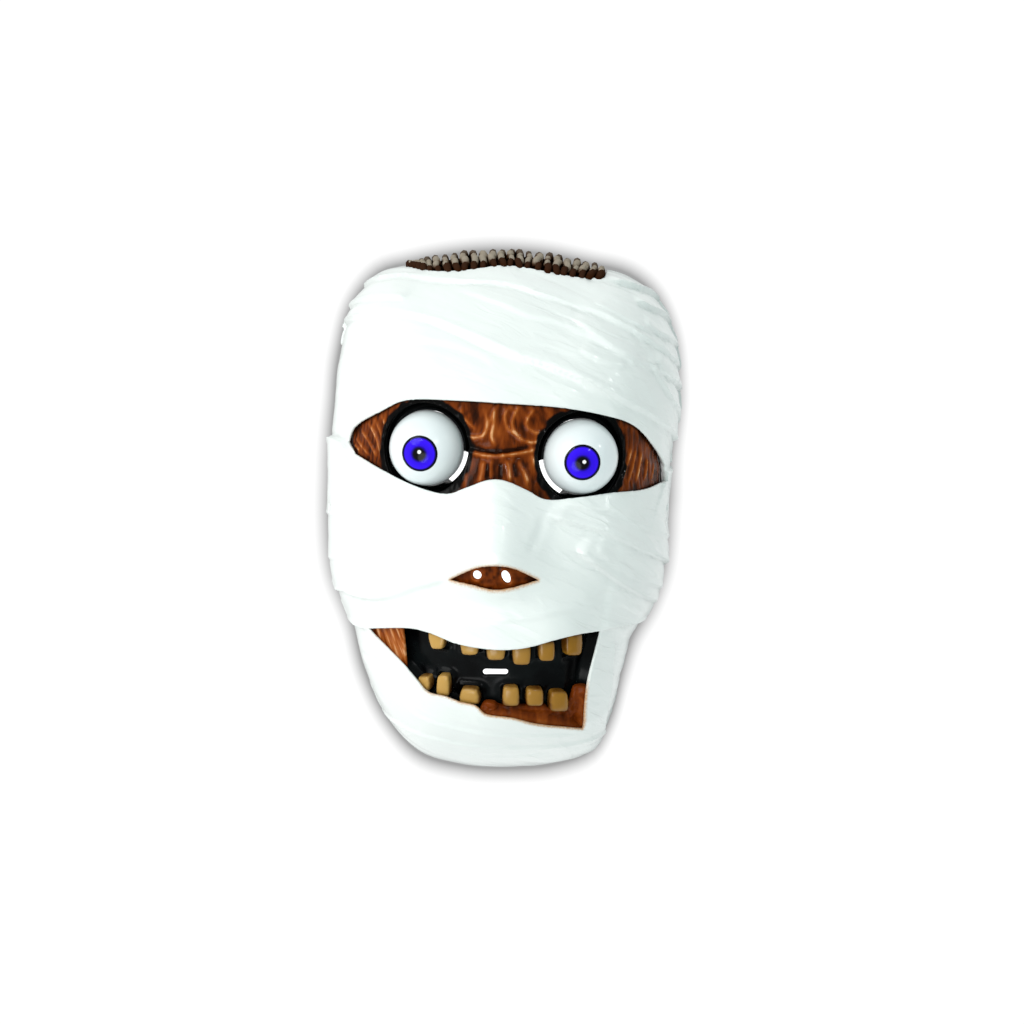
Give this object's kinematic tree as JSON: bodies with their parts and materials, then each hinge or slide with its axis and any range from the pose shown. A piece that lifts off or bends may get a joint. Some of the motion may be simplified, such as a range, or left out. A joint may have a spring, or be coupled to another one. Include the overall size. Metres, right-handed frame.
{
  "type": "mummy mask",
  "caption": "Hard hollow plastic mummy mask: white bandage shell, brown skin windows, bulging eyes, open mouth with block teeth and curly hair",
  "frame": {"origin": "middle of the mask, in the plane of the rim that it lies on", "axes": "+Z out of the face, +Y from the chin to the hair, +X to the right of someone looking at the face"},
  "size_m": [0.1885, 0.2792, 0.0976],
  "materials": {
    "bandage_plastic": "glossy moulded white",
    "hair_plastic": "satin brown with grey tips",
    "skin_plastic": "glossy brown paint, dark in the wrinkles",
    "black_plastic": "glossy black paint",
    "eye_plastic": "glossy white",
    "iris_print": "glossy violet-blue print",
    "tooth_plastic": "glossy ochre paint"
  },
  "bodies": {
    "root": {"bandage_shell": "bandage_plastic", "scalp": "hair_plastic", "eye_skin": "skin_plastic", "eye_socket_left": "black_plastic", "eye_socket_right": "black_plastic", "eyeball_left": "eye_plastic", "eyeball_right": "eye_plastic", "iris_left": "iris_print", "iris_right": "iris_print", "nose_skin": "skin_plastic", "mouth_plate": "black_plastic", "cheek_skin": "skin_plastic", "lip_skin": "skin_plastic", "upper_tooth_1": "tooth_plastic", "upper_tooth_2": "tooth_plastic", "upper_tooth_3": "tooth_plastic", "upper_tooth_4": "tooth_plastic", "upper_tooth_5": "tooth_plastic", "upper_tooth_6": "tooth_plastic", "lower_tooth_1": "tooth_plastic", "lower_tooth_2": "tooth_plastic", "lower_tooth_3": "tooth_plastic", "lower_tooth_4": "tooth_plastic", "lower_tooth_5": "tooth_plastic", "lower_tooth_6": "tooth_plastic"}
  },
  "joints": []
}
